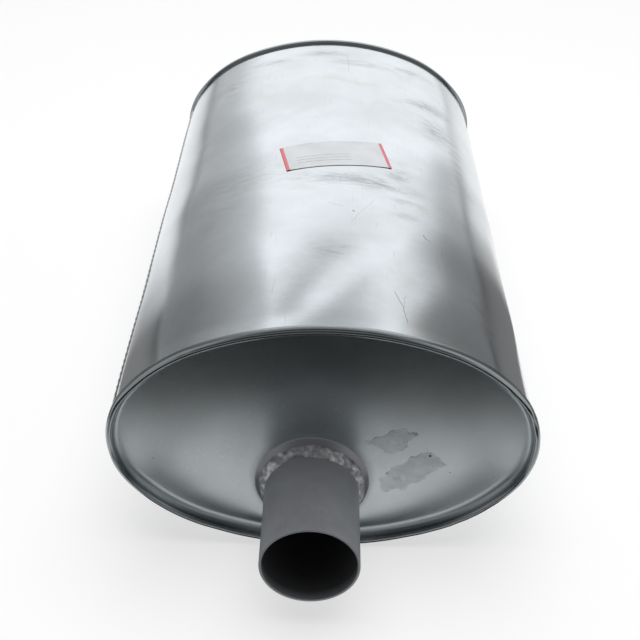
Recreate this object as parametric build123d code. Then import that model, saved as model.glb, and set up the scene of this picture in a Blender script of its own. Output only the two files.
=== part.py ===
"""Oval exhaust muffler: a wrapped sheet body, two pressed end caps with rolled rims, and three
baffles that carry the core tubes and the return tubes.

Millimetres, +Z up. The body lies on its broad side with its axis along Y and the inlet at -Y.
The origin is on the body's axis, midway between the mouths of the two pipes.

Every piece is drawn in a section frame, with x to the right, y up and z along the body's axis
towards the inlet, and is turned into the part's frame when it is written.
"""

import os
from math import cos, radians, sin

from build123d import *

# Body: the oval of the wrapped sheet, and its length over both rims
body_width = 264.2
body_height = 169.4
body_length = 472.0
side_radius = 57.6
side_arc_end = 37.5
shoulder_arc_end = 67.5
shell_sheet = 0.8
inner_sheet = 0.8
wrap_clearance = 0.05
inner_wrap_gap = 24.0
inner_wrap_setback = 3.0

# Lengthwise lock seam of the body sheet, folded inwards
seam_angle = 18.0
seam_width = 8.0
seam_fold_clearance = 0.1
seam_end_notch = 16.0

# End caps: rolled rim, recess and neck
cap_sheet = 1.2
rim_clearance = 0.1
rim_front_radius = 1.9
rim_back_radius = 0.9
hem_length = 4.0
cap_recess = 8.0
recess_corner_radius = 5.0
fold_flats = 3
neck_height = 5.6
neck_foot_radius = 35.7
neck_lip_stand = 0.6
neck_weld_leg = 4.0
neck_weld_side = 1.2
neck_weld_crown = 3.2

# Pipes
pipe_radius = 30.0
pipe_wall = 1.5
pipe_side_offset = 6.5
pipe_height_offset = 36.4
inlet_reach = 65.0
outlet_reach = 46.0
pipe_tail = 52.0
slip_clearance = 0.1
neck_clearance = 0.1

# Core tubes and return tubes
core_sheet = 1.2
core_lap = 25.0
core_end_gap = 55.0
slot_length = 18.0
slot_width = 5.0
slot_cut_depth = 5.0
slot_pitch = 27.0
slots_around = 8
return_radius = 22.5
return_side_gap = 25.6
return_stand = 14.0

# Baffles
baffle_sheet = 1.2
baffle_flange = 12.0
baffle_clearance = 0.15
collar_height = 5.0
tube_clearance = 0.1
end_chamber = 105.0
expansion_chamber = 128.0
seam_relief = 0.5
tack_leg = 2.0
tack_span = 24.0
tacks_around = 3
weld_clearance = 0.05

# Label
label_length = 79.0
label_height = 39.5
label_thickness = 0.2
label_clearance = 0.05
label_turn = 10.0
label_from_inlet_rim = 235.0
label_side_offset = 5.7

# How far a cut runs past the face it opens
cut_past = 1.0

# Places along the axis, in the section frame
overall_length = body_length + inlet_reach + outlet_reach
inlet_mouth = overall_length / 2
inlet_rim = inlet_mouth - inlet_reach
outlet_rim = inlet_rim - body_length
outlet_mouth = -inlet_mouth
cap_inner_depth = cap_recess + cap_sheet
inlet_baffle_z = inlet_rim - end_chamber
outlet_baffle_z = outlet_rim + end_chamber
middle_baffle_z = inlet_baffle_z - expansion_chamber

# Offsets from the body sheet's outer face, positive outwards
rim_stand = shell_sheet + rim_clearance + cap_sheet
chuck_inset = shell_sheet + rim_clearance
inner_wrap_inset = shell_sheet + wrap_clearance
baffle_inset = inner_wrap_inset + inner_sheet + baffle_clearance
core_radius = pipe_radius + slip_clearance + core_sheet
return_side_offset = body_width / 2 - return_side_gap - return_radius
neck_bore = pipe_radius + neck_clearance
neck_lip_z = neck_height - cap_recess

inlet_axis = (-pipe_side_offset, -pipe_height_offset)
outlet_axis = (pipe_side_offset, pipe_height_offset)
left_return_axis = (-return_side_offset, 0)
right_return_axis = (return_side_offset, 0)


def oval_arcs(offset=0.0):
    """The oval's eight tangent arcs, moved outwards by offset: centre, radius, start, end.

    Side, shoulder and crown radii join where the outline's normal turns through the two arc
    ends. The side radius is given, and the other two close the oval to its width and height.
    """
    half_width = body_width / 2
    half_height = body_height / 2
    c1, s1 = cos(radians(side_arc_end)), sin(radians(side_arc_end))
    c2, s2 = cos(radians(shoulder_arc_end)), sin(radians(shoulder_arc_end))
    across = half_width - side_radius * (1 - c1)
    up = half_height - side_radius * s1
    determinant = (c1 - c2) * (1 - s2) - c2 * (s2 - s1)
    shoulder_radius = (across * (1 - s2) - up * c2) / determinant
    crown_radius = (up * (c1 - c2) - across * (s2 - s1)) / determinant
    side_x = half_width - side_radius
    shoulder_x = side_x + (side_radius - shoulder_radius) * c1
    shoulder_y = (side_radius - shoulder_radius) * s1
    crown_y = half_height - crown_radius
    a, b = side_arc_end, shoulder_arc_end
    return [
        ((side_x, 0), side_radius + offset, -a, a),
        ((shoulder_x, shoulder_y), shoulder_radius + offset, a, b),
        ((0, crown_y), crown_radius + offset, b, 180 - b),
        ((-shoulder_x, shoulder_y), shoulder_radius + offset, 180 - b, 180 - a),
        ((-side_x, 0), side_radius + offset, 180 - a, 180 + a),
        ((-shoulder_x, -shoulder_y), shoulder_radius + offset, 180 + a, 180 + b),
        ((0, -crown_y), crown_radius + offset, 180 + b, 360 - b),
        ((shoulder_x, -shoulder_y), shoulder_radius + offset, 360 - b, 360 - a),
    ]


def oval(offset=0.0):
    """Face of the oval, moved outwards by offset."""
    edges = [CenterArc(c, r, start, end - start) for c, r, start, end in oval_arcs(offset)]
    return make_face(edges)


def prism(face, z_low, z_high):
    """A face of the section plane, extruded between two places along the axis."""
    return Pos(0, 0, z_low) * extrude(face, z_high - z_low, dir=(0, 0, 1))


def swept_round(profile):
    """Carries a profile round the oval: one turn about the centre of each arc.

    The profile's x is the offset from the body sheet's outer face, and its y is the place
    along the axis.
    """
    pieces = []
    for centre, radius, start, end in oval_arcs():
        outward = Vector(cos(radians(start)), sin(radians(start)), 0)
        plane = Plane(origin=(*centre, 0), x_dir=outward, z_dir=outward.cross(Vector(0, 0, 1)))
        face = plane * Pos(radius, 0) * profile
        pieces.append(revolve(face, Axis((*centre, 0), (0, 0, 1)), end - start))
    return pieces[0].fuse(*pieces[1:])


def turned(axis, points):
    """Solid of revolution about a pipe's axis, from a polygon of (radius, place) points."""
    face = Plane.XZ * make_face(Polyline(*points, close=True))
    return Pos(axis[0], axis[1], 0) * revolve(face, Axis.Z, 360)


def tube(axis, radius, wall, z_low, z_high):
    """Round tube along the body's axis."""
    section = Circle(radius) - Circle(radius - wall)
    return prism(Pos(*axis) * section, z_low, z_high)


def seam_band(outer_depth, inner_depth, start, end):
    """Part of a ring beside the seam: depths from the outer face, angles about the side arc."""
    (centre_x, centre_y), radius, _, _ = oval_arcs()[4]
    outer = radius - outer_depth
    inner = radius - inner_depth
    rim = CenterArc((0, 0), outer, start, end - start)
    core = CenterArc((0, 0), inner, start, end - start)
    sides = [Line(rim @ 0, core @ 0), Line(rim @ 1, core @ 1)]
    return Pos(centre_x, centre_y) * make_face([rim, core, *sides])


def seam_degrees(length):
    """Angle about the side arc that spans a length of the body's outer face."""
    return length / radians(side_radius)


def lock_seam():
    """Section of the folded seam, as what is cut from the sheet's ring and what is added.

    The upper edge runs over the seam and hooks back under itself. The lower edge steps in
    below it and hooks back between the two, so the outside stays flush.
    """
    start = 180 - seam_angle
    end = start + seam_degrees(seam_width)
    wall = seam_degrees(shell_sheet)
    gap = seam_degrees(seam_fold_clearance)
    step = shell_sheet + seam_fold_clearance
    slit = seam_band(-cut_past, shell_sheet + cut_past, end, end + gap)
    upper_hook = seam_band(0, 2 * step + shell_sheet, end - wall, end)
    upper_hook += seam_band(2 * step, 2 * step + shell_sheet, start + gap + wall, end)
    lower_hook = seam_band(0, 3 * step + shell_sheet, end + gap, end + gap + wall)
    lower_hook += seam_band(3 * step, 3 * step + shell_sheet, start, end + gap)
    lower_hook += seam_band(step, 3 * step + shell_sheet, start, start + wall)
    lower_hook += seam_band(step, step + shell_sheet, start, end - wall - gap)
    return slit, upper_hook + lower_hook


def seam_room(clearance):
    """Section that holds the seam's folds, for the notches that clear them."""
    start = 180 - seam_angle
    end = start + seam_degrees(seam_width)
    side = seam_degrees(shell_sheet + clearance)
    depth = 4 * shell_sheet + 3 * seam_fold_clearance + clearance
    return seam_band(-cut_past, depth, start - side, end + 2 * side)


def make_shell():
    """Body sheet: lock seam along its side, and a hem turned out at each end."""
    ring = oval() - oval(-shell_sheet)
    slit, folds = lock_seam()
    front = inlet_rim - cap_sheet - rim_clearance
    back = outlet_rim + cap_sheet + rim_clearance
    seam_front = front - seam_end_notch
    seam_back = back + seam_end_notch
    hem = oval(shell_sheet) - oval(-shell_sheet / 2)
    body = prism(ring - slit + folds, seam_back, seam_front)
    inlet_end = prism(ring, seam_front, front).fuse(prism(hem, front - hem_length, front))
    outlet_end = prism(ring, back, seam_back).fuse(prism(hem, back, back + hem_length))
    return body.fuse(inlet_end, outlet_end)


def make_inner_wrap():
    """Inner sheet, laid against the body sheet and left open over the seam."""
    ring = oval(-inner_wrap_inset) - oval(-inner_wrap_inset - inner_sheet)
    middle = 180 - seam_angle + seam_degrees(seam_width) / 2
    half_gap = seam_degrees(inner_wrap_gap) / 2
    depth = inner_wrap_inset + inner_sheet + cut_past
    ring -= seam_band(-cut_past, depth, middle - half_gap, middle + half_gap)
    end = cap_inner_depth + inner_wrap_setback
    return prism(ring, outlet_rim + end, inlet_rim - end)


def bend(centre, radius, start, end):
    """Points of a fold in a sheet's section: a few flats that touch the arc from outside."""
    step = radians(end - start) / fold_flats
    reach = radius / cos(step / 2)
    points = []
    for index in range(fold_flats):
        angle = radians(start) + (index + 0.5) * step
        points.append((centre[0] + reach * cos(angle), centre[1] + reach * sin(angle)))
    return points


def cap_profile():
    """Section through a cap's rim and recess, with the rim's front at zero and outwards to +x.

    The sheet runs from the flat face up the recess wall, turns over the body sheet's hem, runs
    down outside it, and turns in behind it.
    """
    wall_front = -chuck_inset - cap_sheet
    plate_end = wall_front - recess_corner_radius
    hem_end = -cap_sheet - 2 * rim_clearance - hem_length
    tip_end = hem_end - cap_sheet
    front = rim_front_radius
    back = rim_back_radius
    corner = (plate_end, -cap_recess + recess_corner_radius)
    outside = [
        (plate_end, -cap_recess),
        *bend(corner, recess_corner_radius, 270, 360),
        *bend((wall_front + front, -front), front, 180, 90),
        *bend((rim_stand - front, -front), front, 90, 0),
        *bend((rim_stand - back, tip_end + back), back, 0, -90),
        (rim_clearance, tip_end),
    ]
    inside = [
        (rim_clearance, hem_end),
        (rim_stand - cap_sheet, hem_end),
        (rim_stand - cap_sheet, -cap_sheet),
        (-chuck_inset, -cap_sheet),
        *bend(corner, recess_corner_radius + cap_sheet, 360, 270),
        (plate_end, -cap_inner_depth),
    ]
    return make_face(Polyline(*outside, *inside, close=True)), plate_end


def make_cap(axis):
    """End cap with its rim's front at zero: rolled rim, recessed face and tapered neck."""
    profile, plate_end = cap_profile()
    cap = swept_round(profile)
    cap += prism(oval(plate_end), -cap_inner_depth, -cap_recess)
    lip = neck_bore + neck_lip_stand
    slope = neck_foot_radius - lip - cap_sheet
    neck = turned(axis, [
        (lip + slope, -cap_inner_depth),
        (neck_foot_radius, -cap_inner_depth),
        (neck_foot_radius, -cap_recess),
        (lip + cap_sheet, neck_lip_z),
        (neck_bore, neck_lip_z),
        (neck_bore, neck_lip_z - cap_sheet),
    ])
    opening = Pos(*axis) * Circle(lip + slope)
    return cap - prism(opening, -cap_inner_depth - cut_past, cut_past) + neck


def neck_weld(axis):
    """Weld bead between the neck's lip and the pipe, with the rim's front at zero."""
    inner = pipe_radius + weld_clearance
    outer = neck_bore + neck_lip_stand + cap_sheet
    middle = (inner + outer) / 2
    return turned(axis, [
        (inner, neck_lip_z),
        (outer, neck_lip_z),
        (outer, neck_lip_z + neck_weld_side),
        (middle, neck_lip_z + neck_weld_crown),
        (inner, neck_lip_z + neck_weld_leg),
    ])


def make_core_tube(axis, z_low, z_high, slots_from, slots_to):
    """Core tube with rings of slots between two places along the axis."""
    body = tube(axis, core_radius, core_sheet, z_low, z_high)
    rings = int((slots_to - slots_from) // slot_pitch)
    first = (slots_from + slots_to) / 2 - (rings - 1) * slot_pitch / 2
    cutters = []
    for ring in range(rings):
        for index in range(slots_around):
            angle = (index + 0.5 * (ring % 2)) * 360 / slots_around
            cutter = Pos(core_radius, 0, 0) * Box(slot_cut_depth, slot_width, slot_length)
            place = Pos(axis[0], axis[1], first + ring * slot_pitch)
            cutters.append(place * Rot(0, 0, angle) * cutter)
    return body.cut(*cutters)


def baffle_holes():
    """Axis and outer radius of each tube that a baffle carries."""
    return [
        (inlet_axis, core_radius),
        (outlet_axis, core_radius),
        (left_return_axis, return_radius),
        (right_return_axis, return_radius),
    ]


def make_baffle(z, holes):
    """Baffle with its inlet-side face at z: a flanged plate with a collar round each tube."""
    plate = oval(-baffle_inset)
    flange = oval(-baffle_inset) - oval(-baffle_inset - baffle_sheet)
    room = seam_room(seam_relief)
    flange -= room
    plate -= room
    for axis, radius in holes:
        plate -= Pos(*axis) * Circle(radius + tube_clearance)
    body = prism(plate, z - baffle_sheet, z)
    body += prism(flange, z - baffle_flange, z)
    for axis, radius in holes:
        wall = radius + tube_clearance + baffle_sheet
        body += tube(axis, wall, baffle_sheet, z - baffle_sheet, z + collar_height)
    return body


def make_tacks(z, holes):
    """Tack welds between a baffle's collars and its tubes, three round each tube."""
    lip = z + collar_height
    tacks = []
    for axis, radius in holes:
        inner = radius + weld_clearance
        outer = radius + tube_clearance + baffle_sheet
        points = [(inner, lip), (outer, lip), (inner, lip + tack_leg)]
        face = Plane.XZ * make_face(Polyline(*points, close=True))
        for index in range(tacks_around):
            bead = revolve(face, Axis.Z, tack_span)
            turn = 90 + index * 360 / tacks_around - tack_span / 2
            tacks.append(Pos(axis[0], axis[1], 0) * Rot(0, 0, turn) * bead)
    return Compound(children=tacks)


def make_label():
    """Paper label on the crown, cut square and laid on at a slight turn."""
    ring = oval(label_clearance + label_thickness) - oval(label_clearance)
    skin = prism(ring, outlet_rim, inlet_rim)
    blank = Box(label_length, body_height, label_height)
    place = Pos(label_side_offset, body_height / 2, inlet_rim - label_from_inlet_rim)
    return skin & (place * Rot(0, label_turn, 0) * blank)


def build():
    """Every piece of the muffler in the section frame, by node name."""
    holes = baffle_holes()
    at_inlet = Pos(0, 0, inlet_rim)
    at_outlet = Pos(0, 0, outlet_rim) * Rot(0, 180, 0)
    turned_outlet_axis = (-outlet_axis[0], outlet_axis[1])
    inlet_tail = inlet_rim - pipe_tail
    outlet_tail = outlet_rim + pipe_tail
    inlet_core_start = inlet_tail + core_lap
    outlet_core_start = outlet_tail - core_lap
    inlet_core_end = outlet_rim + core_end_gap
    outlet_core_end = inlet_rim - core_end_gap - pipe_tail + core_lap
    return_low = outlet_baffle_z - baffle_sheet - return_stand
    return_high = inlet_baffle_z + return_stand
    return {
        "shell": make_shell(),
        "inner_wrap": make_inner_wrap(),
        "inlet_cap": at_inlet * make_cap(inlet_axis),
        "outlet_cap": at_outlet * make_cap(turned_outlet_axis),
        "inlet_pipe": tube(inlet_axis, pipe_radius, pipe_wall, inlet_tail, inlet_mouth),
        "outlet_pipe": tube(outlet_axis, pipe_radius, pipe_wall, outlet_mouth, outlet_tail),
        "inlet_neck_weld": at_inlet * neck_weld(inlet_axis),
        "outlet_neck_weld": at_outlet * neck_weld(turned_outlet_axis),
        "inlet_core_tube": make_core_tube(
            inlet_axis, inlet_core_end, inlet_core_start, middle_baffle_z, inlet_baffle_z),
        "outlet_core_tube": make_core_tube(
            outlet_axis, outlet_core_start, outlet_core_end, outlet_baffle_z, middle_baffle_z),
        "left_return_tube": tube(
            left_return_axis, return_radius, core_sheet, return_low, return_high),
        "right_return_tube": tube(
            right_return_axis, return_radius, core_sheet, return_low, return_high),
        "inlet_baffle": make_baffle(inlet_baffle_z, holes),
        "middle_baffle": make_baffle(middle_baffle_z, holes),
        "outlet_baffle": make_baffle(outlet_baffle_z, holes),
        "inlet_baffle_tacks": make_tacks(inlet_baffle_z, holes),
        "middle_baffle_tacks": make_tacks(middle_baffle_z, holes),
        "outlet_baffle_tacks": make_tacks(outlet_baffle_z, holes),
        "label": make_label(),
    }


os.makedirs("parts", exist_ok=True)
for name, piece in build().items():
    export_step(Rot(90, 0, 0) * piece, f"parts/{name}.step")
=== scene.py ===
"""Oval exhaust muffler, dressed: the sheet, rims, pipes, welds and label as they look close up.

Metres, in the part's own frame: +Z up, +Y along the body towards the outlet, inlet at -Y. The file
follows the muffler as it is put together, and ends with the floor, the light and the camera.
"""

import math

import bpy
import numpy as np
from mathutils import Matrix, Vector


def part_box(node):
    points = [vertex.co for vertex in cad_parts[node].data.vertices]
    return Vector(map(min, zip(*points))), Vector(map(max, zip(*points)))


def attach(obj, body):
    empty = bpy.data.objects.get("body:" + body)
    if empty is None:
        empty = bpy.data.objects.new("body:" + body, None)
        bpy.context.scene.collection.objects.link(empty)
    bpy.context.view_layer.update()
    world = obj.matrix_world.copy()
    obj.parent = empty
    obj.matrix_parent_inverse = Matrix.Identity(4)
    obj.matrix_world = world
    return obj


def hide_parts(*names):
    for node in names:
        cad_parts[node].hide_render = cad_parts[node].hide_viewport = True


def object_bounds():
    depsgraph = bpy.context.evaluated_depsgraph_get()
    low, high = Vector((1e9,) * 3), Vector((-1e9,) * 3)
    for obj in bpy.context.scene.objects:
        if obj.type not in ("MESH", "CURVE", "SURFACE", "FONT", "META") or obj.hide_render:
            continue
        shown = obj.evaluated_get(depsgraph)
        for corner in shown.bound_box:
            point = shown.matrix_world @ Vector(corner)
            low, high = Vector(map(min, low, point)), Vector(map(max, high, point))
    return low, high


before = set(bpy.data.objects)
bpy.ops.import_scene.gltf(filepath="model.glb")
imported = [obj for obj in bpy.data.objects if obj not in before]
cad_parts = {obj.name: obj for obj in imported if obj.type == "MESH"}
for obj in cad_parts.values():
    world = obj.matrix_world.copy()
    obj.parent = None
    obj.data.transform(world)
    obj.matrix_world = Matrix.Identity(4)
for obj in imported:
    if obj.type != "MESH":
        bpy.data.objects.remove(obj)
cad_box = [list(corner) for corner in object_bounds()]
mm = 0.001

# Body sheet: one aluminised steel sheet rolled to an oval, closed along its left side by a folded
# lock seam that a toothed roller has pressed flat, with a hem turned out at each end. It is thin,
# so the press and the handling have left it slightly wavy, with a few shallow dents.
sheet = 0.8 * mm
hem_length = 4.0 * mm
seam_fold = 2.7 * mm
seam_end_notch = 16.0 * mm
seam_start_angle = 162.0
seam_width = 8.0 * mm
side_radius = 57.6 * mm
side_arc_end = 37.5
shoulder_arc_end = 67.5
tooth_pitch = 7.0 * mm
tooth_depth = 1.45 * mm
seam_stand = 1.20 * mm
seam_groove = 0.55 * mm
groove_width = 0.6 * mm
back_groove_place = -0.9 * mm
back_groove_depth = 0.6
tooth_start = -0.3 * mm
tooth_fade_in, tooth_fade_out = 1.0 * mm, 1.2 * mm
wave_height = 0.11 * mm
wave_fade = 25 * mm
sheet_points_round = 300
seam_points = 30
seam_margin = 2.5 * mm
rings_per_tooth = 3
least_step = 1 * mm
sharp_angle = 50.0
shell_low, shell_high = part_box("shell")
body_width = shell_high.x - shell_low.x - 2 * sheet
body_height = shell_high.z - shell_low.z - 2 * sheet
# Dents, and bulges where the depth is below 0. In mm and degrees: place across, place along, half
# width, half length, turn, depth
dents = [
    (-36, -140, 28, 46, -28, -0.90),
    (-4, -172, 12, 44, -22, 0.50),
    (30, -148, 10, 34, -26, -0.55),
    (50, -172, 13, 30, -20, 0.32),
    (70, -118, 26, 34, 0, 0.20),
    (-86, 40, 30, 60, 0, 0.22),
    (92, -60, 14, 50, 0, 0.25),
    (20, 150, 40, 24, 0, 0.18),
]
# Handling dirt and rubs, in mm and degrees: place across, place along, half width, half length,
# turn, strength
smudges = [
    (22, -31, 38, 9, -4, 0.85),
    (52, -14, 7, 14, -20, 0.70),
    (56, -73, 9, 4, 0, 0.60),
    (56, -53, 11, 4, 0, 0.50),
    (14, 6, 40, 5, 3, 0.40),
    (90, 96, 14, 20, 0, 0.60),
    (84, 140, 20, 9, 20, 0.75),
    (30, 196, 30, 8, 0, 0.40),
    (-4, 214, 16, 6, 0, 0.80),
    (-50, 206, 16, 6, -10, 0.55),
    (70, 206, 24, 6, 0, 0.50),
    (104, 60, 8, 60, 0, 0.35),
    (-84, 180, 10, 30, 0, 0.40),
    (-60, -20, 34, 24, 0, 0.22),
    (4, -132, 14, 9, 0, 0.40),
    (100, -166, 10, 22, 0, 0.35),
]
# Scratches made by hand, in mm: start and end, each as place across and along, width, strength
scratches = [
    ((43.2, -173.5), (46.8, -189.0), 0.45, 0.60),
    ((46.8, -189.0), (49.2, -204.5), 0.40, 0.55),
    ((49.0, -176.0), (47.0, -193.0), 0.30, 0.40),
    ((16.3, 213.8), (17.5, 176.0), 0.40, 0.28),
    ((66.5, -92.0), (67.3, -96.5), 0.60, 0.75),
    ((67.3, -96.5), (70.2, -97.0), 0.50, 0.60),
    ((0.7, -68.0), (11.0, -73.0), 0.50, 0.30),
    ((16.8, -93.8), (33.6, -56.8), 0.35, 0.25),
    ((18.3, -77.5), (19.1, -78.7), 0.90, 0.70),
]


def oval_arcs():
    """The oval's eight tangent arcs: centres, radii, and where the normal's angle starts and ends.

    The side radius is given; the shoulder and crown radii close the oval to its width and height.
    """
    half_width, half_height = body_width / 2, body_height / 2
    first, second = math.radians(side_arc_end), math.radians(shoulder_arc_end)
    across = half_width - side_radius * (1 - math.cos(first))
    up = half_height - side_radius * math.sin(first)
    drop = math.cos(first) - math.cos(second)
    rise = math.sin(second) - math.sin(first)
    rest = 1 - math.sin(second)
    share = drop * rest - math.cos(second) * rise
    shoulder = (across * rest - up * math.cos(second)) / share
    crown = (up * drop - across * rise) / share
    side_x = half_width - side_radius
    shoulder_x = side_x + (side_radius - shoulder) * math.cos(first)
    shoulder_z = (side_radius - shoulder) * math.sin(first)
    crown_z = half_height - crown
    centres = np.array([
        (side_x, 0), (shoulder_x, shoulder_z), (0, crown_z), (-shoulder_x, shoulder_z),
        (-side_x, 0), (-shoulder_x, -shoulder_z), (0, -crown_z), (shoulder_x, -shoulder_z),
    ])
    radii = np.array([side_radius, shoulder, crown, shoulder] * 2)
    ends = np.radians([-side_arc_end, side_arc_end, shoulder_arc_end, 180 - shoulder_arc_end,
                       180 - side_arc_end, 180 + side_arc_end, 180 + shoulder_arc_end,
                       360 - shoulder_arc_end, 360 - side_arc_end])
    return centres, radii, ends


def oval(walked):
    """Points and outward normals of the oval where a walk round it has come to, in metres.

    On each arc the normal's angle is the arc's start plus the length walked on it over its radius,
    and the point is the arc's centre plus the radius along that normal.
    """
    centres, radii, ends = oval_arcs()
    passed = np.concatenate([[0], np.cumsum(radii * np.diff(ends))])
    walked = np.mod(walked, passed[-1])
    arc = np.clip(np.searchsorted(passed, walked, side="right") - 1, 0, len(radii) - 1)
    angle = ends[arc] + (walked - passed[arc]) / radii[arc]
    normal = np.stack([np.cos(angle), np.sin(angle)], axis=-1)
    return centres[arc] + radii[arc][:, None] * normal, normal


def oval_length():
    """Length once round the oval: each radius times its angle, added up."""
    _, radii, ends = oval_arcs()
    return float(np.sum(radii * np.diff(ends)))


def walk_to(angle):
    """Length walked round the oval to where its normal has this angle in degrees."""
    _, radii, ends = oval_arcs()
    turn = np.clip(np.radians(angle), ends[:-1], ends[1:]) - ends[:-1]
    return float(np.sum(radii * turn))


def eased(share):
    """The share on a curve that is level at 0 and at 1: three times its square less twice its cube."""
    return share * share * (3 - 2 * share)


def rings(walked, offsets, places):
    """Grid of points: the oval moved outwards by each offset, at each place along the body."""
    flat, normal = oval(walked)
    moved = flat[None] + np.asarray(offsets)[..., None] * normal[None]
    along = np.broadcast_to(np.asarray(places), moved.shape[:2])
    return np.stack([moved[..., 0], along, moved[..., 1]], axis=-1)


def waves(points, seed, count, shortest, longest, height):
    """Smooth unevenness at each point: sines along random directions in space, added up.

    Each sine's height is in proportion to its wavelength, so short waves are shallow.
    """
    rng = np.random.default_rng(seed)
    lengths = rng.uniform(shortest, longest, count)
    direction = rng.normal(size=(count, 3))
    direction /= np.linalg.norm(direction, axis=1, keepdims=True)
    phase = rng.uniform(0, 2 * np.pi, count)
    turns = points @ (direction / lengths[:, None]).T * 2 * np.pi + phase
    return np.sin(turns) @ (height * lengths / lengths.max())


def make_mesh(name, points, faces, material):
    """An object of those points and faces in one material, added to the scene."""
    mesh = bpy.data.meshes.new(name)
    mesh.from_pydata(points, [], faces)
    mesh.materials.append(material)
    made = bpy.data.objects.new(name, mesh)
    bpy.context.scene.collection.objects.link(made)
    return made


def skin(name, grid, material):
    """Mesh of quads over a grid of points that closes on itself in both directions.

    The faces are turned so that the volume they enclose comes out positive.
    """
    count, around = grid.shape[:2]
    row = np.arange(count)[:, None]
    column = np.arange(around)[None]
    after_row = (row + 1) % count
    after_column = (column + 1) % around
    corners = [row * around + column, row * around + after_column,
               after_row * around + after_column, after_row * around + column]
    quads = np.stack(np.broadcast_arrays(*corners), axis=-1).reshape(-1, 4)
    points = grid.reshape(-1, 3)
    first, second, third, fourth = (points[quads[:, i]] for i in range(4))
    volume = np.sum(first * np.cross(second, third)) + np.sum(first * np.cross(third, fourth))
    if volume < 0:
        quads = quads[:, ::-1]
    made = make_mesh(name, points, quads.tolist(), material)
    made.data.shade_smooth()
    made.data.set_sharp_from_angle(angle=math.radians(sharp_angle))
    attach(made, "root")
    return made


def paint(piece, name, values):
    """Writes one number for each point of a mesh, which its material reads by that name."""
    layer = piece.data.attributes.new(name, "FLOAT", "POINT")
    layer.data.foreach_set("value", np.asarray(values, np.float32).ravel())


def linear(hex_colour):
    """The linear colour of an sRGB hex value such as c0c4c8, with full alpha."""
    parts = [int(hex_colour[i:i + 2], 16) / 255 for i in (0, 2, 4)]
    return (*[p / 12.92 if p <= 0.04045 else ((p + 0.055) / 1.055) ** 2.4 for p in parts], 1.0)


def wire(tree, node, inputs):
    """Fills each input of a node with a value or a link. A node stands for its first output in use."""
    for key, value in inputs.items():
        if isinstance(value, bpy.types.Node):
            value = next(output for output in value.outputs if output.enabled)
        if isinstance(value, bpy.types.NodeSocket):
            tree.links.new(value, node.inputs[key])
        else:
            node.inputs[key].default_value = value


def add(tree, kind, inputs, **settings):
    """Adds a shader node of that kind, sets its settings, and wires its inputs."""
    made = tree.nodes.new("ShaderNode" + kind)
    for key, value in settings.items():
        setattr(made, key, value)
    wire(tree, made, inputs)
    return made


def set_stops(ramp, stops):
    """Gives a colour ramp its stops, from first to last, each a position and a linear colour."""
    held = ramp.color_ramp.elements
    for element, (position, colour) in zip(held, (stops[0], stops[-1])):
        element.position, element.color = position, colour
    for position, colour in stops[1:-1]:
        held.new(position).color = colour


def finish(name):
    """An empty material of that name: its node tree and the Principled shader that it ends in."""
    material = bpy.data.materials.new(name)
    material.use_nodes = True
    return material, material.node_tree, material.node_tree.nodes["Principled BSDF"]


def scratch_line(tree, place, start, end, width):
    """1 on a straight scratch and 0 past its edge, from the distance between a place and its line.

    The nearest point of the line is its start plus the clamped share of its run that the place has
    passed, and the distance is the length of what is left.
    """
    run = np.array([end[0] - start[0], end[1] - start[1], 0.0]) * mm
    off = add(tree, "VectorMath", {0: place, 1: (start[0] * mm, start[1] * mm, 0)}, operation="SUBTRACT")
    passed = add(tree, "VectorMath", {0: off, 1: run / (run @ run)}, operation="DOT_PRODUCT")
    share = add(tree, "Clamp", {"Value": passed})
    nearest = add(tree, "VectorMath", {0: run, "Scale": share}, operation="SCALE")
    rest = add(tree, "VectorMath", {0: off, 1: nearest}, operation="SUBTRACT")
    far = add(tree, "VectorMath", {0: rest}, operation="LENGTH")
    return add(tree, "MapRange", {"Value": far, "From Min": 0.3 * width * mm, "From Max": width * mm,
                                  "To Min": 1.0, "To Max": 0.0})


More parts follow.
